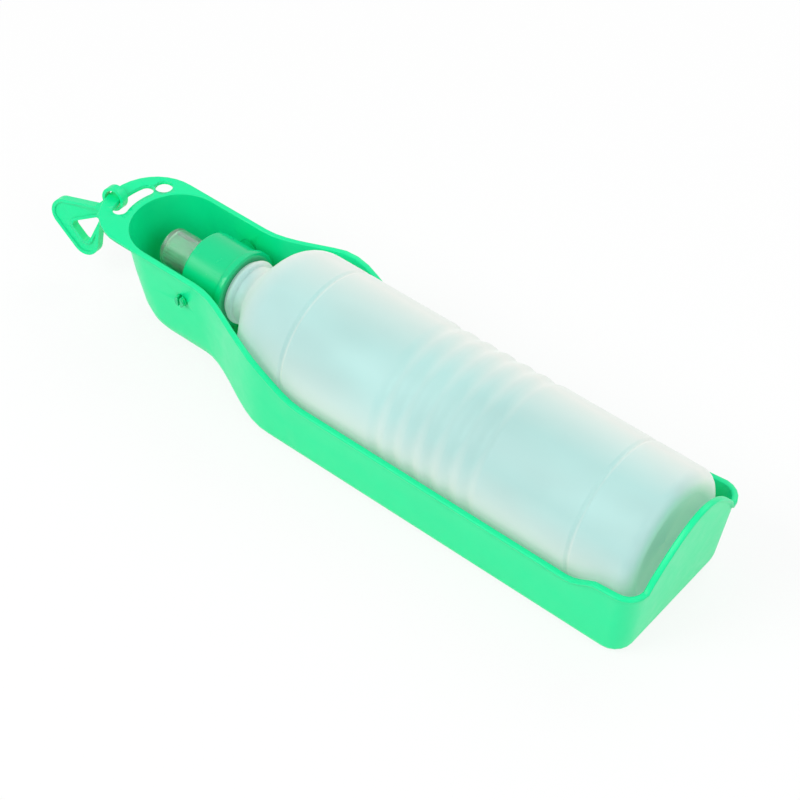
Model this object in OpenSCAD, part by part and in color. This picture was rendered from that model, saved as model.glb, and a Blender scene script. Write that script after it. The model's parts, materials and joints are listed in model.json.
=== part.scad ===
// Dog travel water bottle: a squeeze bottle that swings out of its own drinking tray.
// Millimetres, +Z up. The origin is on the flat underside, straight below the pivot of the cap.
// +X runs from the pivot towards the closed end of the tray, -X towards the bowl and the hanger.

/* [Bottle] */
// Outside diameter of the bottle's body
bottle_d = 62.2; // [56:0.1:70]
// Length of the straight body, from the end of the shoulder to the base
body_l = 183.6; // [150:0.1:210]
// Slope of the shoulder's cone, in degrees
shoulder_slope = 52; // [40:1:60]
// Radius that blends the shoulder into the body
shoulder_r = 15; // [10:0.5:17]
// Outside diameter of the neck
neck_d = 25.4; // [22:0.1:27]
// Length of the neck that the cap covers and the bead stands on
neck_l = 27.9; // [26:0.1:34]
// Thickness of the bottle's wall
bottle_wall = 1.1; // [0.8:0.1:1.6]
// Radius of the edge of the base
base_edge_r = 5; // [3:0.5:8]
// Height of the domed push-up in the base
push_up_h = 3.5; // [1:0.5:6]
// Number of grip grooves round the body
grip_count = 6; // [3:1:8]
// Distance from one grip groove to the next
grip_pitch = 9.1; // [7:0.1:11]
// Depth of the grip grooves
grip_depth = 0.9; // [0.3:0.1:1.4]
// Distance of the first grip groove from the end of the shoulder
grip_start = 65; // [40:1:80]
// Width of the two single ring grooves
ring_w = 3.2; // [2:0.1:5]
// Depth of the two single ring grooves
ring_depth = 0.7; // [0.3:0.1:1.2]
// Distance of the front ring groove from the end of the shoulder
front_ring_at = 16; // [8:1:30]
// Distance of the rear ring groove from the base
rear_ring_at = 26; // [18:1:40]

/* [Cap] */
// Outside diameter of the cap
cap_d = 31.8; // [31:0.1:34]
// Length of the cap
cap_l = 22.5; // [19:0.1:25]
// Distance of the pivot axis behind the cap's front face
pivot_back = 6.3; // [5.5:0.1:8]
// Thickness of the cap's front plate
cap_top_t = 2; // [1.4:0.1:2.4]
// How far the cap's rear flange stands out
cap_flange_out = 1.1; // [0.5:0.1:1.5]
// Length of the cap's rear flange
cap_flange_l = 2.6; // [1.5:0.1:4]
// Diameter of the pivot pins
pin_d = 5; // [4:0.1:6]
// How far each pivot pin stands out of the tray
pin_proud = 2.2; // [1.8:0.1:4]
// Diameter of the shoulder round each pivot pin
pin_collar_d = 9; // [7.5:0.1:10.5]
// Width of the slot that splits each pivot pin
pin_slot_w = 1.2; // [0.8:0.1:1.6]

/* [Spout] */
// Outside diameter of the clear nozzle
nozzle_d = 17; // [15:0.1:19]
// Length of the clear nozzle
nozzle_l = 19.5; // [16:0.1:20.5]
// Thickness of the nozzle's wall
nozzle_wall = 1.6; // [1.2:0.1:2]
// Diameter of the outlet hole in the nozzle
outlet_d = 4.4; // [3.6:0.1:5]

/* [Tray] */
// Thickness of the tray's walls
wall = 1.5; // [1.2:0.1:2]
// Thickness of the tray's floor
floor_t = 2; // [1.5:0.1:2.5]
// Width of the bowl outside, where its walls would meet the ground
bowl_w = 39.6; // [39.2:0.1:44]
// Distance from the pivot to the front of the bowl, outside at the rim
bowl_reach = 43.2; // [42:0.1:52]
// Height of the bowl's rim
bowl_rim_h = 47; // [44:0.5:54]
// Height of the rim along the cradle
cradle_rim_h = 31; // [26:0.5:34]
// Height of the rim at the two rear corners
corner_rim_h = 38.5; // [36:0.5:42]
// Height of the arch in the end wall
arch_h = 62; // [52:0.5:66]
// Width of the arch at its foot
arch_w = 59; // [50:1:60]
// Room at each side of the bottle, at the height of its axis
side_gap = 2.6; // [1.5:0.1:4]
// Room between the bottle's base and the end wall
end_gap = 0.9; // [0.6:0.1:3]
// Lean of the side walls, in degrees
side_draft = 2.2; // [1:0.1:4]
// Lean of the bowl's nose at its rim, in degrees
nose_draft = 6; // [4:0.5:16]
// How far the nose's foot sweeps back below that lean
nose_sweep = 6; // [0:0.5:8]
// Lean of the end wall, in degrees
end_draft = 7; // [5:0.5:9]
// Radius along the foot of the bowl's sides
bowl_foot_r = 12.5; // [6:0.5:13]
// Radius along the foot of the bowl's nose
nose_foot_r = 18; // [8:0.5:18]
// Radius along the foot of the cradle
cradle_foot_r = 4.5; // [3:0.5:6]
// Radius of the two rear corners
corner_r = 8; // [5:0.5:10]
// How far the rim's lip stands out
lip_out = 1; // [0.6:0.1:1.4]
// Height of the rim's lip, and of the edge of the flange
lip_h = 1.5; // [1:0.1:2.2]

/* [Hanger] */
// Width of the flange in front of the bowl
flange_w = 15.4; // [15.2:0.1:18]
// Width of the strip outside the slot, which the hanger's ring goes round
strip_w = 6.7; // [5.4:0.1:6.8]
// Width of the flange's slot
slot_w = 6.6; // [4.4:0.1:6.8]
// Half the angle that the slot spans, in degrees
slot_half_angle = 17; // [12:1:18]
// Length of the oval hole in the flange
oval_l = 7.8; // [6:0.1:8]
// Width of the oval hole in the flange
oval_w = 7.2; // [5:0.1:7.4]
// Thickness of the hanger, along its own axis
hanger_t = 3.8; // [3:0.1:4]
// Inside radius of the hanger's ring
loop_r = 3.9; // [3.8:0.1:4.1]
// Thickness of the hanger's ring
loop_t = 1.4; // [1.2:0.1:1.6]
// Distance from the centre of the ring to the far edge of the plate
hanger_l = 36; // [34:0.5:42]
// Width of the plate at its far edge
hanger_w = 28; // [26:0.5:34]
// Width of the hanger's neck
hanger_neck_w = 4.2; // [3:0.1:6]
// Width of the raised rim round the plate
hanger_rim_w = 1.6; // [1:0.1:1.8]
// Depth of the plate's face below its rims
hanger_face_depth = 0.6; // [0.3:0.1:1]
// Width of the plate's hole
hanger_hole_w = 10.6; // [8:0.1:12]
// Length of the plate's hole
hanger_hole_l = 15.5; // [12:0.1:17]
// How far the hanger hangs outwards from straight down, in degrees
hang_angle = 42; // [35:1:60]
// How far the hanger leans sideways, in degrees
hang_lean = 11; // [0:1:13]
// Where the hanger hangs on the strip's arc, in degrees from the tip
hang_turn = 10; // [0:1:12]

/* [Hidden] */

// Clearances
run_gap = 0.05;         // a pin in its hole, a side
slide_gap = 0.3;        // curved faces of two pieces that pass each other
seat_gap = 0.1;         // flat faces of two pieces that seat on each other
cradle_gap = 0.4;       // bottle above the tray's floor

// Heights and radii
bottle_r = bottle_d / 2;
neck_r = neck_d / 2;
cap_r = cap_d / 2;
pivot_h = floor_t + cradle_gap + bottle_r;

// Places along X, counted from the pivot
cap_front_x = -pivot_back;
cap_rear_x = cap_front_x + cap_l;
seal_t = 1.2;
neck_top_x = cap_front_x + cap_top_t + seal_t + 2 * seat_gap;
shoulder_x = neck_top_x + neck_l;                       // foot of the shoulder's cone
shoulder_root_r = neck_r + 0.3;                         // the cone starts just outside the neck
arc_foot_r = bottle_r - shoulder_r * (1 - cos(shoulder_slope));
cone_end_x = shoulder_x + (arc_foot_r - shoulder_root_r) / tan(shoulder_slope);
body_x = cone_end_x + shoulder_r * sin(shoulder_slope);  // start of the straight body
base_x = body_x + body_l;

// Places in the tray
end_x = base_x + end_gap + wall + (cradle_foot_r - base_edge_r / 2) * tan(end_draft);
bowl_half = bowl_w / 2;
cradle_half = bottle_r + side_gap + wall - pivot_h * tan(side_draft);
widen_from_x = shoulder_x - 17.2;
widen_to_x = body_x + 8.8;
drop_from_x = body_x - 6;
drop_to_x = body_x + 30;
rise_from_x = end_x - 26;
rise_to_x = end_x - 9;
corner_from_x = end_x - corner_r - cradle_foot_r - 0.7;  // clear of the corner's round at the foot
nose_r = bowl_half + bowl_rim_h * tan(side_draft);
tip_x = -bowl_reach - flange_w;
bowl_wall_half = bowl_half + pivot_h * tan(side_draft);   // outside, at the height of the pivot

function smooth(t) = let (u = max(0, min(1, t))) u * u * (3 - 2 * u);
function blend(a, b, t) = a + (b - a) * smooth(t);

// ---------------------------------------------------------------- tray

// The tray's skin is lofted through rings, from the outside of its foot up to the rim and down
// again to the inside of its foot. Every ring meets the same stations round the outline.
foot_steps = 5;
nose_steps = 14;
widen_steps = 14;
rise_steps = 4;
corner_steps = 5;
arch_steps = 12;

function cradle_share(x) = (x - widen_from_x) / (widen_to_x - widen_from_x);
function half_at(x, z) = blend(bowl_half, cradle_half, cradle_share(x)) + z * tan(side_draft);
function foot_at(x) = blend(bowl_foot_r, cradle_foot_r, cradle_share(x));
function side_rim(x) =
    x < rise_from_x - 1
        ? blend(bowl_rim_h, cradle_rim_h, (x - drop_from_x) / (drop_to_x - drop_from_x))
        : blend(cradle_rim_h, corner_rim_h, (x - rise_from_x) / (rise_to_x - rise_from_x));
function arch_rim(y) =
    corner_rim_h + (arch_h - corner_rim_h) * cos(90 * min(1, abs(y) / (arch_w / 2)));

// Stations of one half, from the nose round to the middle of the end wall: [kind, value], where
// the value is an angle, a place along X, or a share of the bowl's length or the end's width
function span(a, b, n) = [for (i = [1:n]) a + (b - a) * i / n];
side_xs = concat(span(widen_from_x, drop_to_x, widen_steps),
                 span(drop_to_x, rise_from_x, 2), span(rise_from_x, corner_from_x, rise_steps));
round_stations = concat(
    [for (i = [0:nose_steps]) ["nose", 90 * i / nose_steps]],
    [for (share = span(0, 1, 2)) ["bowl", share]],
    [for (x = side_xs) ["side", x]],
    [for (i = [0:corner_steps]) ["corner", 90 * i / corner_steps]]);
half_stations = concat(round_stations, [for (i = [1:arch_steps]) ["end", 1 - i / arch_steps]]);
corner_i = len(round_stations) - 1;                      // where the straight end wall starts
half_n = len(half_stations);
ring_n = 2 * half_n - 2;

function station_foot(s) =
    s[0] == "nose" ? blend(nose_foot_r, bowl_foot_r, s[1] / 90)
    : s[0] == "bowl" ? bowl_foot_r
    : s[0] == "side" ? foot_at(s[1]) : cradle_foot_r;
function station_rim(s) =
    s[0] == "nose" || s[0] == "bowl" ? bowl_rim_h
    : s[0] == "side" ? side_rim(s[1])
    : s[0] == "corner" ? corner_rim_h
    : arch_rim(s[1] * (cradle_half + arch_h * tan(side_draft) - corner_r));

// One point of the skin, for a station, an inset, a height and the fillet's own inset
function skin_point(s, inset, z, round_in) =
    let (
        depth = bowl_rim_h - z,
        front = -bowl_reach + depth * tan(nose_draft) + nose_sweep * (depth / bowl_rim_h) ^ 2,
        nose_x = front + nose_r,
        rear = end_x + z * tan(end_draft) - inset - round_in,
        half = cradle_half + z * tan(side_draft) - inset - round_in,
        r = max(1, corner_r - inset)
    )
    s[0] == "nose"
        ? [nose_x - (nose_r - inset - round_in) * cos(s[1]),
           (half_at(nose_x, z) - inset - round_in) * sin(s[1]), z]
    : s[0] == "bowl"
        ? [nose_x + (widen_from_x - nose_x) * s[1], half_at(nose_x, z) - inset - round_in, z]
    : s[0] == "side" ? [s[1], half_at(s[1], z) - inset - round_in, z]
    : s[0] == "corner" ? [rear - r + r * sin(s[1]), half - r + r * cos(s[1]), z]
    : [rear, (half - r) * s[1], z];

function foot_point(s, inset, z0, turn) =
    let (r = max(0.8, station_foot(s) - inset))
    skin_point(s, inset, z0 + r * (1 - cos(turn)), r * (1 - sin(turn)));

// A point halfway up the wall, between the top of its foot and the rim
function middle_point(s, inset, z0) =
    let (top = z0 + station_foot(s) - inset)
    skin_point(s, inset, (top + station_rim(s) - lip_h - lip_out) / 2, 0);

// A point below the rim: on the wall's own slope, or upright under the rim where the lip and the
// flange stand out. Round the nose the flange reaches further out than the lip.
function wall_point(s, inset, drop) = skin_point(s, inset, station_rim(s) - drop, 0);
function lip_point(s, inset, drop) =
    let (p = skin_point(s, inset - flange_reach(s), station_rim(s), 0)) [p[0], p[1], p[2] - drop];
function flange_reach(s) =
    s[0] != "nose" ? 0
    : let (offset = nose_arc_x - flange_arc_x, along = offset * cos(s[1]), across = offset * sin(s[1]))
        (s[1] > atan(flange_r / offset) ? flange_r / sin(s[1])
                                        : along + sqrt(flange_r ^ 2 - across ^ 2)) - flange_r;

// Levels of the rings: ["foot", inset, height of the foot, turn of its fillet], "middle" with an
// inset and the foot's height, or "wall" or "lip" with an inset and a drop below the rim
rim_round = 0.45;
levels = concat(
    [for (k = [0:foot_steps]) ["foot", 0, 0, 90 * k / foot_steps]],
    [["middle", 0, 0],
     ["wall", 0, lip_h + lip_out],
     ["lip", -lip_out, lip_h],
     ["lip", -lip_out, rim_round],
     ["lip", rim_round - lip_out, 0],
     ["wall", wall - rim_round, 0],
     ["wall", wall, rim_round],
     ["middle", wall, floor_t]],
    [for (k = [foot_steps:-1:0]) ["foot", wall, floor_t, 90 * k / foot_steps]]);

function level_point(l, s) =
    l[0] == "foot" ? foot_point(s, l[1], l[2], l[3])
    : l[0] == "middle" ? middle_point(s, l[1], l[2])
    : l[0] == "wall" ? wall_point(s, l[1], l[2]) : lip_point(s, l[1], l[2]);
function flip_y(p) = [p[0], -p[1], p[2]];
function ring(l) =
    let (half = [for (s = half_stations) level_point(l, s)])
    concat(half, [for (i = [half_n - 2:-1:1]) flip_y(half[i])]);

// Side faces between two rings, as triangles
function band(a, n) =
    [for (i = [0:n - 1]) let (j = (i + 1) % n)
        each [[a + i, a + j, a + n + j], [a + i, a + n + j, a + n + i]]];
// A flat floor across a ring: strips between the mirrored halves, then fans to the straight end
function across(a, up) =
    let (
        other = function(i) (ring_n - i) % ring_n,
        strips = [for (i = [0:corner_i - 2])
            each i == 0 ? [[0, 1, other(1)]] : [[i, i + 1, other(i + 1)], [i, other(i + 1), other(i)]]],
        p = corner_i - 1,
        fans = [for (i = [corner_i:half_n - 2])
            each [[p, i, i + 1], [other(p), other(i + 1), other(i)]]],
        last = [[p, half_n - 1, other(p)]])
    [for (t = concat(strips, fans, last)) up ? [a + t[0], a + t[1], a + t[2]]
                                             : [a + t[2], a + t[1], a + t[0]]];

module tray_shell() {
    points = [for (l = levels) each ring(l)];
    last = len(levels) - 1;
    faces = concat(
        across(0, false),
        [for (k = [0:last - 1]) each band(k * ring_n, ring_n)],
        across(last * ring_n, true));
    polyhedron(points, faces);
}

// The flange in front of the bowl: its outline is an arc round the tip, its slot follows the bowl
nose_arc_x = nose_r - bowl_reach;
flange_r = nose_r + lip_out;
flange_arc_x = tip_x + flange_r;
strip_mid_r = flange_r - strip_w / 2;          // middle of the strip, where the hanger's ring hangs
strip_t = lip_h + lip_out * strip_w / 2 / flange_w;
slot_outer_r = nose_arc_x - (tip_x + strip_w);
slot_mid_r = slot_outer_r - slot_w / 2;
oval_angle = 63;                               // from the tip, towards +Y
oval_arc_r = 16;

// Points on an arc; the slot and the oval hole are one outline each, so no two points nearly meet
function arc(centre, r, from, to, steps) =
    [for (i = [0:steps]) let (a = from + (to - from) * i / steps) centre + r * [cos(a), sin(a)]];
function inner_arc(centre, r, from, to, steps) =
    let (points = arc(centre, r, from, to, steps)) [for (i = [1:steps - 1]) points[i]];

module slot_outline() {
    from = 180 - slot_half_angle;
    to = 180 + slot_half_angle;
    translate([nose_arc_x, 0]) polygon(concat(
        arc([0, 0], slot_outer_r, from, to, 12),
        inner_arc(slot_mid_r * [cos(to), sin(to)], slot_w / 2, to, to + 180, 12),
        arc([0, 0], slot_outer_r - slot_w, to, from, 12),
        inner_arc(slot_mid_r * [cos(from), sin(from)], slot_w / 2, from + 180, from + 360, 12)));
}

module oval_outline() {
    reach = (oval_l - oval_w) / 2;
    translate([flange_arc_x, 0]) rotate(180 - oval_angle) translate([oval_arc_r, 0])
        polygon(concat(arc([0, reach], oval_w / 2, 0, 180, 14),
                       arc([0, -reach], oval_w / 2, 180, 360, 14)));
}

module tray() {
    color("mediumspringgreen") difference() {
        tray_shell();
        // the slot and the oval hole through the flange
        translate([0, 0, bowl_rim_h - 3 * lip_h]) linear_extrude(4 * lip_h) {
            slot_outline();
            oval_outline();
        }
        // the two pivot holes, one through each wall
        for (side = [-1, 1]) translate([0, side * bowl_wall_half, pivot_h]) rotate([90, 0, 0])
            cylinder(d = pin_d + 2 * run_gap, h = 3 * wall, center = true, $fn = 64);
    }
}

// ---------------------------------------------------------------- bottle

// Turns a profile, drawn as [distance from the neck's end along X, radius], round the X axis
module turned(profile) {
    translate([0, 0, pivot_h]) rotate([0, 90, 0]) rotate_extrude($fn = 96)
        polygon([for (p = profile) [p[1], p[0]]]);
}

grip_x = body_x + grip_start;
grip_end_x = grip_x + (grip_count - 1) * grip_pitch;
front_ring_x = body_x + front_ring_at;
rear_ring_x = base_x - rear_ring_at;

// One groove is a raised cosine, so it meets the body without an edge
groove_steps = 8;
function groove(x, w, depth) =
    [for (i = [0:groove_steps]) [x - w / 2 + w * i / groove_steps,
        bottle_r - depth * (0.5 - 0.5 * cos(360 * i / groove_steps))]];

// The bead round the neck, just behind the cap
bead_w = 3.4;
bead_out = 1.7;
bead_behind_cap = 0.9;
bead_x = cap_rear_x + bead_behind_cap + bead_w / 2;
bead_points = [for (i = [0:8]) let (a = 180 * i / 8)
    [bead_x - bead_w / 2 * cos(a), neck_r + bead_out * sin(a)]];
shoulder_points = concat([[shoulder_x, shoulder_root_r]],
    [for (i = [0:6]) let (a = shoulder_slope * (1 - i / 6))
        [body_x - shoulder_r * sin(a), bottle_r - shoulder_r * (1 - cos(a))]]);
base_points = [for (i = [0:6]) let (a = 90 * i / 6)
    [base_x - base_edge_r * (1 - sin(a)), bottle_r - base_edge_r * (1 - cos(a))]];
dome_r = bottle_r - base_edge_r - 3;           // radius of the push-up's rim
dome_points = [for (i = [0:5]) [base_x - push_up_h * sin(90 * i / 5), dome_r * cos(90 * i / 5)]];

outer_profile = concat(
    [[neck_top_x, neck_r]], bead_points, shoulder_points,
    groove(front_ring_x, ring_w, ring_depth),
    [for (i = [0:grip_count - 1]) each groove(grip_x + i * grip_pitch, grip_pitch - 0.4, grip_depth)],
    groove(rear_ring_x, ring_w, ring_depth),
    base_points, dome_points);

// The inside follows the outside, a wall further in, and leaves out the bead and the grooves
inner_r = bottle_r - ring_depth - bottle_wall;
neck_thicker = 0.6;                            // the neck's wall is thicker than the body's
neck_inner_r = neck_r - bottle_wall - neck_thicker;
base_chamfer = 3;
inner_profile = concat(
    [[base_x - push_up_h - bottle_wall, 0],
     [base_x - push_up_h - bottle_wall, dome_r - 4],
     [base_x - bottle_wall, dome_r + 2],
     [base_x - bottle_wall, inner_r - base_chamfer],
     [base_x - bottle_wall - base_chamfer, inner_r]],
    [[body_x, inner_r], [cone_end_x + 1, arc_foot_r - bottle_wall - neck_thicker],
     [shoulder_x + bottle_wall, neck_inner_r],
     [neck_top_x, neck_inner_r]]);

module bottle() {
    color("azure", 0.6) turned(concat(outer_profile, inner_profile));
}

// ---------------------------------------------------------------- cap, seal and nozzle

cap_edge_r = 1.2;
cap_flange_edge = 0.5;                         // bevel at the flange's rear edge
skirt_r = neck_r + slide_gap;                  // inside of the skirt
nozzle_front_x = cap_front_x - nozzle_l - seat_gap;
nozzle_front_t = 1.8;
nozzle_edge_r = 1.2;
nozzle_edge_flat = 0.35;                       // the edge's middle point, in from both faces
nozzle_foot_l = 1.6;                           // the small step round the nozzle's foot
nozzle_foot_out = 0.4;
post_r = nozzle_d / 2 - nozzle_wall - slide_gap;
post_wall = 1.4;
post_back = 1.2;                               // the post ends this far behind the nozzle's front
post_end_x = nozzle_front_x + nozzle_front_t + post_back;
post_bore_r = post_r - post_wall;
plug_gap = 0.08;                               // the closed plug nearly fills the outlet
plug_r = outlet_d / 2 - plug_gap;
plug_back = 0.4;                               // the plug ends this far inside the outlet
plug_end_x = nozzle_front_x + plug_back;
spoke_w = 1.4;
spoke_l = 2.5;

cap_profile = concat(
    [[post_end_x, post_bore_r], [post_end_x, post_r], [cap_front_x, post_r]],
    [for (i = [0:4]) let (a = 90 * i / 4)
        [cap_front_x + cap_edge_r * (1 - cos(a)), cap_r - cap_edge_r * (1 - sin(a))]],
    [[cap_rear_x - cap_flange_l - cap_flange_out, cap_r],
     [cap_rear_x - cap_flange_l, cap_r + cap_flange_out],
     [cap_rear_x - cap_flange_edge, cap_r + cap_flange_out],
     [cap_rear_x, cap_r + cap_flange_out - cap_flange_edge],
     [cap_rear_x, skirt_r],
     [cap_front_x + cap_top_t, skirt_r],
     [cap_front_x + cap_top_t, post_bore_r]]);

pin_end = bowl_wall_half + pin_proud;
collar_gap = 0.45;                             // the tray's wall leans, so the collar stands clear
collar_end = bowl_wall_half - wall - collar_gap;
barb_out = 0.35;
barb_in = 0.5;                                 // how far the pin's tip tapers in

// One pivot pin with its collar, barb and slot, standing along +Y from inside the skirt
module pivot_pin() {
    root = skirt_r + 1;
    difference() {
        rotate([-90, 0, 0]) {
            translate([0, 0, root]) cylinder(d = pin_collar_d, h = collar_end - root, $fn = 64);
            translate([0, 0, root]) cylinder(d = pin_d, h = pin_end - root, $fn = 64);
            translate([0, 0, pin_end - pin_proud + slide_gap])
                cylinder(r1 = pin_d / 2 + barb_out, r2 = pin_d / 2 - barb_in,
                         h = pin_proud - slide_gap, $fn = 64);
        }
        translate([-pin_slot_w / 2, pin_end - pin_proud - 1, -pin_d]) cube([pin_slot_w, pin_d, 2 * pin_d]);
    }
}

module cap() {
    color("mediumspringgreen") {
        turned(cap_profile);
        // the plug that closes the nozzle, on three spokes inside the post
        translate([plug_end_x, 0, pivot_h]) rotate([0, 90, 0])
            cylinder(r = plug_r, h = post_end_x + spoke_l + 0.5 - plug_end_x, $fn = 48);
        for (a = [0, 120, 240]) translate([post_end_x + 0.5, 0, pivot_h]) rotate([a, 0, 0])
            translate([0, -spoke_w / 2, plug_r / 2])
                cube([spoke_l, spoke_w, post_bore_r + post_wall / 2 - plug_r / 2]);
        for (side = [0, 180]) translate([0, 0, pivot_h]) rotate([0, 0, side]) pivot_pin();
    }
}

module cap_seal() {
    seal_x = cap_front_x + cap_top_t + seat_gap;
    color("white") turned([[seal_x, post_bore_r], [seal_x, neck_r],
                           [seal_x + seal_t, neck_r], [seal_x + seal_t, post_bore_r]]);
}

module nozzle() {
    r = nozzle_d / 2;
    inner = r - nozzle_wall;
    rear_x = cap_front_x - seat_gap;
    color("white", 0.5) turned([
        [nozzle_front_x, outlet_d / 2], [nozzle_front_x, r - nozzle_edge_r],
        [nozzle_front_x + nozzle_edge_flat, r - nozzle_edge_flat], [nozzle_front_x + nozzle_edge_r, r],
        [rear_x - nozzle_foot_l, r], [rear_x - nozzle_foot_l + nozzle_foot_out, r + nozzle_foot_out],
        [rear_x, r + nozzle_foot_out],
        [rear_x, inner], [nozzle_front_x + nozzle_front_t, inner],
        [nozzle_front_x + nozzle_front_t, outlet_d / 2]]);
}

// ---------------------------------------------------------------- hanger

// Drawn flat, hanging straight down from its ring's centre: x across the plate, y along it
plate_corner_r = 7;
plate_top_y = -12;                             // where the neck widens into the plate
hole_corner_r = 2.2;
hole_x = 3;                                    // the hole lies to one side of the middle
hole_rim_w = 1.3;
far_bar_w = 6.5;                               // from the hole to the plate's far edge
hole_far_y = far_bar_w - hanger_l;

// The plate's outline, drawn in from its edge
module plate_outline(inset) {
    corner_x = hanger_w / 2 - plate_corner_r;
    hull() {
        for (side = [-1, 1]) translate([side * corner_x, plate_corner_r - hanger_l])
            circle(r = plate_corner_r - inset, $fn = 32);
        translate([0, plate_top_y]) circle(r = hanger_neck_w / 2 - inset, $fn = 32);
    }
}

// The hole's outline, drawn out from its edge
module hole_outline(outset) {
    corner_x = hanger_hole_w / 2 - hole_corner_r;
    translate([hole_x, 0]) hull() {
        for (side = [-1, 1]) translate([side * corner_x, hole_far_y + hole_corner_r])
            circle(r = hole_corner_r + outset, $fn = 32);
        translate([0, hole_far_y + hanger_hole_l - hole_corner_r / 2])
            circle(r = hole_corner_r / 2 + outset, $fn = 32);
    }
}

module hanger_flat() {
    neck_l = -plate_top_y - loop_r;
    difference() {
        linear_extrude(hanger_t, center = true) difference() {
            union() {
                circle(r = loop_r + loop_t, $fn = 64);
                translate([-hanger_neck_w / 2, plate_top_y]) square([hanger_neck_w, neck_l]);
                plate_outline(0);
            }
            circle(r = loop_r, $fn = 64);
            hole_outline(0);
        }
        // both faces are sunk between the two rims
        for (z = [hanger_t / 2 - hanger_face_depth, -3 * hanger_t / 2 + hanger_face_depth])
            translate([0, 0, z]) linear_extrude(hanger_t) difference() {
                plate_outline(hanger_rim_w);
                hole_outline(hole_rim_w);
            }
    }
}

// The ring hangs square to the strip, round the middle of its section
module hanger() {
    color("mediumspringgreen") translate([flange_arc_x, 0, bowl_rim_h - strip_t / 2])
        rotate([0, 0, hang_turn]) translate([-strip_mid_r, 0, 0])
            rotate([-hang_lean, 0, 0]) rotate([0, hang_angle, 0]) rotate([90, 0, 0]) hanger_flat();
}

tray();
bottle();
cap();
cap_seal();
nozzle();
hanger();
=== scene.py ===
"""Dog travel water bottle: a frosted squeeze bottle on two pivot pins in a long green drinking tray.

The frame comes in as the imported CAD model, in metres, +X from the pivot to the tray's closed end.
Each piece is smoothed and finished by its own operator.
"""

import json
from math import cos, pi, radians, sin

import bpy
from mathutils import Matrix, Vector

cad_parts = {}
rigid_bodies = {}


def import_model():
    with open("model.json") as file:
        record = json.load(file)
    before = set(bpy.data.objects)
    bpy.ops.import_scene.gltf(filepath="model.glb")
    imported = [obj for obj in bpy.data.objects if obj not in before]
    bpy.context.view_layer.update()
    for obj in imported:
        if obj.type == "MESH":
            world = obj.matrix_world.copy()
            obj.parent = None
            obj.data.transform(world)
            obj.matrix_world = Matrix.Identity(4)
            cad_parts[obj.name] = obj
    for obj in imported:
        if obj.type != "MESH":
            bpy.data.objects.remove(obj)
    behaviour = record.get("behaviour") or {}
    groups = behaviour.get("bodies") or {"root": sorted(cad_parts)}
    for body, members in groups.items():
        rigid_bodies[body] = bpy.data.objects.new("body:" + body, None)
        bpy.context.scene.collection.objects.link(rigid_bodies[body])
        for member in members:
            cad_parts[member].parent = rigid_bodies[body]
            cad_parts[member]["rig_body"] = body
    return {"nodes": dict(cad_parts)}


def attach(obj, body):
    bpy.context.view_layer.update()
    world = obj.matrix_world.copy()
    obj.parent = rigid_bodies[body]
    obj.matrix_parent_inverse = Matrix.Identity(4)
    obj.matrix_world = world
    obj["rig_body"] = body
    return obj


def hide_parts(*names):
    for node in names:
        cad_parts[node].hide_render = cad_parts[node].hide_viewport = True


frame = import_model()

bl_info = {
    "name": "Dog travel water bottle",
    "version": (1, 0, 0),
    "blender": (4, 5, 0),
    "location": "View3D > Sidebar > Water Bottle",
    "description": "Dresses the packed water bottle and its drinking tray, and sets the studio round them",
    "category": "Object",
}

MM = 0.001
BOTTLE_AXIS = (0, 0, 33.5 * MM)  # a point on the bottle's middle line
PAINTED_OUTLINE_SHEEN = "#D3CDC7"  # painted sheen: the frosted wall's colour painted whiter toward its outline, where the eye looks along it
# painted glow: emission colour and strength that stand for light crossing the bottle's thin walls
PAINTED_WALL_GLOW = "#D4F8F2"
PAINTED_WALL_GLOW_STRENGTH = 0.26
GROOVE_SHARE = 0.8  # how far the grooves turn the painted sheen, beside 1 for the round body
MERGE_REACH = 0.002 * MM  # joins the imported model's loose triangles, far under its smallest detail

# Widths of the patterns in the finishes, chosen as typical of such mouldings
MOTTLE_WIDTH = 14 * MM
SKIN_WIDTH = 5 * MM
CLOUD_WIDTH = 30 * MM
HAZE_WIDTH = 3 * MM
DUST_WIDTH = 0.4 * MM
TEXTURE_DEPTH = 0.02 * MM

SENSOR_MM = 36
AIM = (103 * MM, -4.86 * MM, 30 * MM)  # what the camera and the lamps point at
FLOOR_SIZE = 12
FLOOR_PLACE = (0.1, 0, -0.05 * MM)  # just low enough not to flicker through the tray's flat underside
PAPER_SHADE = 0.92
PAPER_GLOW = 0.85  # share of the floor that shows as plain white, the rest takes the shadows
SKY_LIGHT = 0.56
SKY_SEEN = 1.0
SOFTBOX_SIZE = 1.0
SOFTBOXES = (  # name, place in metres, watts
    ("Key softbox", (-0.5, -1.1, 1.2), 12.5),
    ("Fill softbox", (1.2, -0.2, 0.9), 5),
    ("Back softbox", (0.1, 1.1, 1.1), 4.5),
)


# ---------------------------------------------------------------- sizes and finishes to change


def colour_property(name, description, hex_colour):
    return bpy.props.FloatVectorProperty(
        name=name, description=description,
        subtype="COLOR", size=3, min=0, max=1, default=linear(hex_colour),
    )


def linear(hex_colour):
    """An sRGB hex colour as the linear numbers that shaders take."""
    parts = [int(hex_colour[i : i + 2], 16) / 255 for i in (1, 3, 5)]
    return tuple(c / 12.92 if c <= 0.04045 else ((c + 0.055) / 1.055) ** 2.4 for c in parts)


class BottleColours(bpy.types.PropertyGroup):
    """The colours of the moulded pieces."""

    tray: colour_property("Tray", "Spring green polypropylene of the tray and the hanger", "#04EC9C")
    cap: colour_property("Cap", "Spring green polypropylene of the cap", "#00D289")
    bottle: colour_property("Bottle", "Frosted, faintly minty polyethylene of the bottle", "#91B8B5")
    nozzle: colour_property("Nozzle", "Clear plastic of the push-pull nozzle", "#FAFFFC")
    seal: colour_property("Seal", "White elastomer of the sealing disc", "#F1F1EC")


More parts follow.
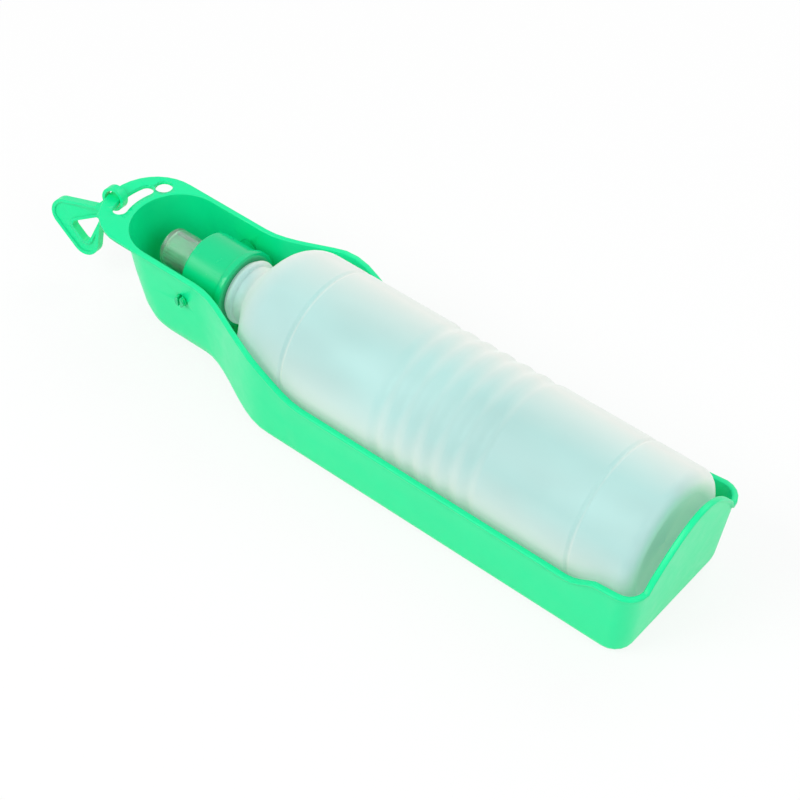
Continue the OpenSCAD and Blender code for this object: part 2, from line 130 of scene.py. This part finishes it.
class BottleSizes(bpy.types.PropertyGroup):
    """The sizes that the looks follow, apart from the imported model's own."""

    peel_size: bpy.props.FloatProperty(
        name="Mould texture", description="Width of the soft unevenness of the moulded faces",
        unit="LENGTH", default=2.2 * MM, min=0.2 * MM, max=10 * MM,
    )
    frost_size: bpy.props.FloatProperty(
        name="Frost grain", description="Width of the grain of the frosted bottle",
        unit="LENGTH", default=0.5 * MM, min=0.1 * MM, max=5 * MM,
    )


class BottleStudio(bpy.types.PropertyGroup):
    """The camera and the light."""

    azimuth: bpy.props.FloatProperty(
        name="Azimuth", description="Direction of the camera round the object",
        subtype="ANGLE", default=radians(39.8),
    )
    elevation: bpy.props.FloatProperty(
        name="Elevation", description="Height of the camera above the level",
        subtype="ANGLE", default=radians(46.7),
    )
    distance: bpy.props.FloatProperty(
        name="Distance", description="Distance of the camera from its target",
        unit="LENGTH", default=0.85, min=0.3,
    )
    lens: bpy.props.FloatProperty(
        name="Lens", description="Focal length on a 36 mm sensor", unit="CAMERA", default=96.75, min=20
    )


# ---------------------------------------------------------------- materials


def add_node(tree, kind, settings=None, inputs=None):
    """Adds a node, with its settings, its values and its links from other nodes' sockets."""
    node = tree.nodes.new(kind)
    for name, value in (settings or {}).items():
        setattr(node, name, value)
    for name, value in (inputs or {}).items():
        if isinstance(value, bpy.types.NodeSocket):
            tree.links.new(value, node.inputs[name])
        else:
            node.inputs[name].default_value = value
    return node


def new_material(name, inputs):
    """Returns a material with a plain Principled BSDF, its tree, its shader and the Object coordinates."""
    material = bpy.data.materials.new(name)
    material.use_nodes = True
    tree = material.node_tree
    tree.nodes.clear()
    shader = add_node(tree, "ShaderNodeBsdfPrincipled", inputs=inputs)
    add_node(tree, "ShaderNodeOutputMaterial", inputs={"Surface": shader.outputs["BSDF"]})
    place = add_node(tree, "ShaderNodeTexCoord").outputs["Object"]
    return material, tree, shader, place


def noise_of(tree, place, width, detail=2.0, stretch=(1, 1, 1)):
    """Noise whose lumps are about as wide as a real size in metres."""
    mapped = add_node(tree, "ShaderNodeMapping", inputs={"Vector": place, "Scale": stretch})
    return add_node(
        tree, "ShaderNodeTexNoise",
        inputs={"Vector": mapped.outputs["Vector"], "Scale": 1 / width, "Detail": detail},
    ).outputs["Fac"]


def blend_colours(tree, factor, first, second):
    """Goes from the first colour to the second; each is three numbers or another node's socket."""
    ends = [end if isinstance(end, bpy.types.NodeSocket) else (*end, 1) for end in (first, second)]
    mix = add_node(tree, "ShaderNodeMix", {"data_type": "RGBA"}, {0: factor, 6: ends[0], 7: ends[1]})
    return mix.outputs[2]


def spread(tree, value, low, high, start=0.3, end=0.7):
    """Maps a value between start and end to the range from low to high."""
    return add_node(
        tree, "ShaderNodeMapRange",
        inputs={"Value": value, "From Min": start, "From Max": end, "To Min": low, "To Max": high},
    ).outputs["Result"]


def roughen(tree, shader, height, strength):
    """Raises and sinks the surface a little by a pattern."""
    bump = add_node(
        tree, "ShaderNodeBump", inputs={"Strength": strength, "Distance": TEXTURE_DEPTH, "Height": height}
    )
    tree.links.new(bump.outputs["Normal"], shader.inputs["Normal"])


def sheen_mask_of(tree, place, axis):
    """The mask of the painted sheen: 0 in the middle of what shows of a round body and 1 at its outline,
    with its grooves half smoothed away. The axis is a point on the body's middle line, which runs along X."""

    def vector(operation, first, second=(0, 0, 0), third=(0, 0, 0)):
        inputs = {0: first, 1: second, 2: third}
        return add_node(tree, "ShaderNodeVectorMath", {"operation": operation}, inputs)

    across = vector("MULTIPLY", vector("SUBTRACT", place, axis).outputs[0], (0, 1, 1)).outputs[0]
    turned = add_node(
        tree, "ShaderNodeVectorTransform",
        {"vector_type": "NORMAL", "convert_from": "OBJECT", "convert_to": "WORLD"}, {"Vector": across},
    ).outputs["Vector"]
    outward = vector("NORMALIZE", turned).outputs[0]
    here = add_node(tree, "ShaderNodeNewGeometry").outputs
    blended = vector("MULTIPLY_ADD", here["Normal"], [GROOVE_SHARE] * 3, outward).outputs[0]
    soft = vector("NORMALIZE", blended).outputs[0]
    toward = vector("DOT_PRODUCT", soft, here["Incoming"]).outputs["Value"]
    size = add_node(tree, "ShaderNodeMath", {"operation": "ABSOLUTE"}, {0: toward}).outputs[0]
    return add_node(tree, "ShaderNodeMath", {"operation": "SUBTRACT"}, {0: 1.0, 1: size}).outputs[0]


def scaled(colour, factor):
    return tuple(min(1, c * factor) for c in colour)


def moulded_polypropylene(name, colour, roughness):
    """Injection-moulded polypropylene: waxy, evenly coloured right through, with a satin skin from the
    polished tool. The eye sees a soft highlight that the skin's slight unevenness breaks up, and a faint
    mottle."""
    sizes = bpy.context.scene.bottle_sizes
    material, tree, shader, place = new_material(name, {"IOR": 1.49, "Specular IOR Level": 0.35})
    mottle = noise_of(tree, place, MOTTLE_WIDTH)
    body = blend_colours(tree, mottle, scaled(colour, 0.97), scaled(colour, 1.02))
    tree.links.new(body, shader.inputs["Base Color"])
    skin = noise_of(tree, place, SKIN_WIDTH, detail=3)
    tree.links.new(spread(tree, skin, roughness - 0.04, roughness + 0.04), shader.inputs["Roughness"])
    roughen(tree, shader, noise_of(tree, place, sizes.peel_size), strength=0.25)
    return material


def frosted_polyethylene(name, colour):
    """Extrusion-blown low-density polyethylene: milky, and matt from the blasted mould. Light goes into it
    and comes out softened, so that it has no hard highlight and takes a tint from what stands behind it.
    Toward its outline, where the eye looks along the wall, a painted sheen makes it whiter. Its faint glow
    is
    painted light: emission that stands for the light that crosses the thin walls again and again, more
    often than a render follows it, and that brightens its shaded base."""
    sizes = bpy.context.scene.bottle_sizes
    material, tree, shader, place = new_material(
        name,
        {
            "IOR": 1.51,
            "Transmission Weight": 0.06,
            "Subsurface Weight": 0.3,
            "Subsurface Radius": (1.0, 1.0, 1.0),
            "Subsurface Scale": 2 * MM,
            # painted glow: emission that stands for light crossing the thin walls
            "Emission Color": (*linear(PAINTED_WALL_GLOW), 1),
            "Emission Strength": PAINTED_WALL_GLOW_STRENGTH,
            "Sheen Weight": 0.2,
            "Sheen Roughness": 0.45,
        },
    )
    lumps = noise_of(tree, place, CLOUD_WIDTH, stretch=(0.5, 1, 1))
    cloud = spread(tree, lumps, 0, 1, start=0.35, end=0.65)
    wall = blend_colours(tree, cloud, scaled(colour, 0.9), scaled(colour, 1.07))
    # painted sheen: the wall's colour turns whiter toward its outline, following the view
    painted_sheen = spread(tree, sheen_mask_of(tree, place, BOTTLE_AXIS), 0, 1, start=0.13, end=0.66)
    tree.links.new(blend_colours(tree, painted_sheen, wall, linear(PAINTED_OUTLINE_SHEEN)), shader.inputs["Base Color"])
    frost = noise_of(tree, place, sizes.frost_size, detail=3)
    tree.links.new(spread(tree, frost, 0.46, 0.58), shader.inputs["Roughness"])
    roughen(tree, shader, frost, strength=0.3)
    return material


def clear_moulded_plastic(name, colour):
    """Injection-moulded clear plastic, slightly hazed by handling: the green post shows through it softly,
    with bright streaks where its wall turns."""
    values = {"IOR": 1.5, "Transmission Weight": 0.88, "Coat Weight": 0.4}
    material, tree, shader, place = new_material(name, values)
    shader.inputs["Base Color"].default_value = (*colour, 1)
    haze = noise_of(tree, place, HAZE_WIDTH)
    tree.links.new(spread(tree, haze, 0.05, 0.25), shader.inputs["Roughness"])
    return material


def moulded_elastomer(name, colour):
    """Moulded thermoplastic elastomer: soft, white and dull, with a fine dusty grain."""
    material, tree, shader, place = new_material(name, {"IOR": 1.45})
    shader.inputs["Base Color"].default_value = (*colour, 1)
    grain = noise_of(tree, place, DUST_WIDTH)
    tree.links.new(spread(tree, grain, 0.55, 0.7), shader.inputs["Roughness"])
    return material


# ---------------------------------------------------------------- making pieces


def deselect_all():
    if bpy.context.object and bpy.context.object.mode != "OBJECT":
        bpy.ops.object.mode_set(mode="OBJECT")
    bpy.ops.object.select_all(action="DESELECT")


def make_active(piece):
    deselect_all()
    piece.select_set(True)
    bpy.context.view_layer.objects.active = piece


def apply_modifier(piece, kind, **settings):
    make_active(piece)
    modifier = piece.modifiers.new(kind.title(), kind)
    for name, value in settings.items():
        setattr(modifier, name, value)
    bpy.ops.object.modifier_apply(modifier=modifier.name)


def moulded_copy(node, name, smooth_angle):
    """A copy of a CAD node with its triangles joined up and its curved faces shaded smooth, in the node's
    place. The angle is in degrees: a sharper edge stays an edge."""
    source = frame["nodes"][node]
    body = source["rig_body"]
    make_active(source)
    bpy.ops.object.duplicate()
    piece = bpy.context.object
    for key in list(piece.keys()):  # the node's own marks stay with the node
        del piece[key]
    piece.name = piece.data.name = name
    bpy.ops.object.mode_set(mode="EDIT")
    bpy.ops.mesh.select_all(action="SELECT")
    bpy.ops.mesh.remove_doubles(threshold=MERGE_REACH)
    bpy.ops.object.mode_set(mode="OBJECT")
    bpy.ops.object.shade_smooth_by_angle(angle=radians(smooth_angle))
    apply_modifier(piece, "WEIGHTED_NORMAL", keep_sharp=True, weight=50)
    piece.data.materials.clear()
    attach(piece, body)
    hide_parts(node)
    return piece


def finish_piece(piece, material):
    piece.data.materials.clear()
    piece.data.materials.append(material)


# ---------------------------------------------------------------- the pieces, one operator each


class BOTTLE_OT_tray(bpy.types.Operator):
    """Dresses the drinking tray"""

    bl_idname = "bottle.tray"
    bl_label = "Tray"

    def execute(self, context):
        tray = moulded_copy("tray", "drinking_tray", smooth_angle=50)
        colour = context.scene.bottle_colours.tray
        finish = moulded_polypropylene("Tray polypropylene", colour, roughness=0.36)
        finish_piece(tray, finish)
        return {"FINISHED"}


class BOTTLE_OT_hanger(bpy.types.Operator):
    """Dresses the loop hanger on the flange"""

    bl_idname = "bottle.hanger"
    bl_label = "Hanger"

    def execute(self, context):
        hanger = moulded_copy("hanger", "loop_hanger", smooth_angle=30)
        colour = context.scene.bottle_colours.tray
        finish = moulded_polypropylene("Hanger polypropylene", colour, roughness=0.34)
        finish_piece(hanger, finish)
        return {"FINISHED"}


class BOTTLE_OT_cap(bpy.types.Operator):
    """Dresses the screw cap with its pivot pins and the post inside the nozzle"""

    bl_idname = "bottle.cap"
    bl_label = "Cap"

    def execute(self, context):
        cap = moulded_copy("cap", "screw_cap", smooth_angle=35)
        colour = context.scene.bottle_colours.cap
        finish = moulded_polypropylene("Cap polypropylene", colour, roughness=0.24)
        finish_piece(cap, finish)
        return {"FINISHED"}


class BOTTLE_OT_seal(bpy.types.Operator):
    """Dresses the sealing disc inside the cap"""

    bl_idname = "bottle.seal"
    bl_label = "Sealing disc"

    def execute(self, context):
        seal = moulded_copy("cap_seal", "sealing_disc", smooth_angle=35)
        finish = moulded_elastomer("Seal elastomer", context.scene.bottle_colours.seal)
        finish_piece(seal, finish)
        return {"FINISHED"}


class BOTTLE_OT_nozzle(bpy.types.Operator):
    """Dresses the clear push-pull nozzle"""

    bl_idname = "bottle.nozzle"
    bl_label = "Nozzle"

    def execute(self, context):
        nozzle = moulded_copy("nozzle", "push_pull_nozzle", smooth_angle=40)
        finish = clear_moulded_plastic("Nozzle clear plastic", context.scene.bottle_colours.nozzle)
        finish_piece(nozzle, finish)
        return {"FINISHED"}


class BOTTLE_OT_bottle(bpy.types.Operator):
    """Dresses the squeeze bottle"""

    bl_idname = "bottle.bottle"
    bl_label = "Squeeze bottle"

    def execute(self, context):
        bottle = moulded_copy("bottle", "squeeze_bottle", smooth_angle=40)
        finish = frosted_polyethylene("Bottle polyethylene", context.scene.bottle_colours.bottle)
        finish_piece(bottle, finish)
        return {"FINISHED"}


# ---------------------------------------------------------------- the studio


def softbox(name, place, watts):
    data = bpy.data.lights.new(name, "AREA")
    data.shape = "DISK"
    data.size = SOFTBOX_SIZE
    data.energy = watts
    light = bpy.data.objects.new(name, data)
    light.location = place
    light.rotation_euler = (Vector(AIM) - Vector(place)).to_track_quat("-Z", "Y").to_euler()
    bpy.context.scene.collection.objects.link(light)


def seen_factor(tree):
    """1 where a ray comes from the camera, a gloss or a clear plastic, and 0 where it only lights."""
    path = add_node(tree, "ShaderNodeLightPath")
    value = path.outputs["Is Camera Ray"]
    for ray in ("Is Glossy Ray", "Is Transmission Ray"):
        value = add_node(
            tree, "ShaderNodeMath", {"operation": "MAXIMUM"}, {0: value, 1: path.outputs[ray]}
        ).outputs[0]
    return value


class BOTTLE_OT_stage(bpy.types.Operator):
    """Sets the pale floor, the soft light and the camera"""

    bl_idname = "bottle.stage"
    bl_label = "Studio"

    def execute(self, context):
        scene = context.scene
        studio = scene.bottle_studio
        deselect_all()
        bpy.ops.mesh.primitive_plane_add(size=FLOOR_SIZE, location=FLOOR_PLACE)
        floor = context.object
        floor.name = "studio_floor"
        bpy.ops.object.transform_apply(location=True)
        material = bpy.data.materials.new("Studio paper")
        material.use_nodes = True
        tree = material.node_tree
        tree.nodes.clear()
        paper = add_node(tree, "ShaderNodeBsdfDiffuse", inputs={"Color": (*[PAPER_SHADE] * 3, 1)})
        glow = add_node(tree, "ShaderNodeEmission", inputs={"Color": (1, 1, 1, 1), "Strength": 1.0})
        share = add_node(
            tree, "ShaderNodeMath", {"operation": "MULTIPLY"}, {0: seen_factor(tree), 1: PAPER_GLOW}
        ).outputs[0]
        mix = add_node(
            tree, "ShaderNodeMixShader", inputs={0: share, 1: paper.outputs[0], 2: glow.outputs[0]}
        )
        add_node(tree, "ShaderNodeOutputMaterial", inputs={"Surface": mix.outputs[0]})
        floor.data.materials.append(material)

        world = bpy.data.worlds.new("Studio")
        scene.world = world
        world.use_nodes = True
        tree = world.node_tree
        tree.nodes.clear()
        strength = add_node(
            tree, "ShaderNodeMapRange",
            inputs={"Value": seen_factor(tree), "To Min": SKY_LIGHT, "To Max": SKY_SEEN},
        ).outputs["Result"]
        sky = add_node(tree, "ShaderNodeBackground", inputs={"Color": (1, 1, 1, 1), "Strength": strength})
        add_node(tree, "ShaderNodeOutputWorld", inputs={"Surface": sky.outputs[0]})

        for name, place, watts in SOFTBOXES:
            softbox(name, place, watts)

        toward = Vector((
            sin(studio.azimuth) * cos(studio.elevation),
            -cos(studio.azimuth) * cos(studio.elevation),
            sin(studio.elevation),
        ))
        data = bpy.data.cameras.new("Camera")
        data.sensor_width = SENSOR_MM
        data.lens = studio.lens
        camera = bpy.data.objects.new("Camera", data)
        camera.location = Vector(AIM) + toward * studio.distance
        camera.rotation_euler = (pi / 2 - studio.elevation, 0, studio.azimuth)
        scene.collection.objects.link(camera)
        scene.camera = camera
        scene.view_settings.view_transform = "Standard"
        return {"FINISHED"}


STEPS = (
    BOTTLE_OT_tray,
    BOTTLE_OT_hanger,
    BOTTLE_OT_cap,
    BOTTLE_OT_seal,
    BOTTLE_OT_nozzle,
    BOTTLE_OT_bottle,
    BOTTLE_OT_stage,
)


class BOTTLE_PT_panel(bpy.types.Panel):
    """The steps that dress the water bottle"""

    bl_idname = "BOTTLE_PT_panel"
    bl_label = "Water Bottle"
    bl_space_type = "VIEW_3D"
    bl_region_type = "UI"
    bl_category = "Water Bottle"

    def draw(self, context):
        for group_name in GROUPS:
            group = getattr(context.scene, group_name)
            for name in group.__annotations__:
                self.layout.prop(group, name)
        for step in STEPS:
            self.layout.operator(step.bl_idname)


GROUPS = {"bottle_colours": BottleColours, "bottle_sizes": BottleSizes, "bottle_studio": BottleStudio}
CLASSES = (*GROUPS.values(), *STEPS, BOTTLE_PT_panel)


def register():
    for cls in CLASSES:
        bpy.utils.register_class(cls)
    for name, group in GROUPS.items():
        setattr(bpy.types.Scene, name, bpy.props.PointerProperty(type=group))


def unregister():
    for name in GROUPS:
        delattr(bpy.types.Scene, name)
    for cls in reversed(CLASSES):
        bpy.utils.unregister_class(cls)


def main():
    register()
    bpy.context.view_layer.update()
    for step in STEPS:
        group, name = step.bl_idname.split(".")
        getattr(getattr(bpy.ops, group), name)()


if __name__ == "__main__":
    main()
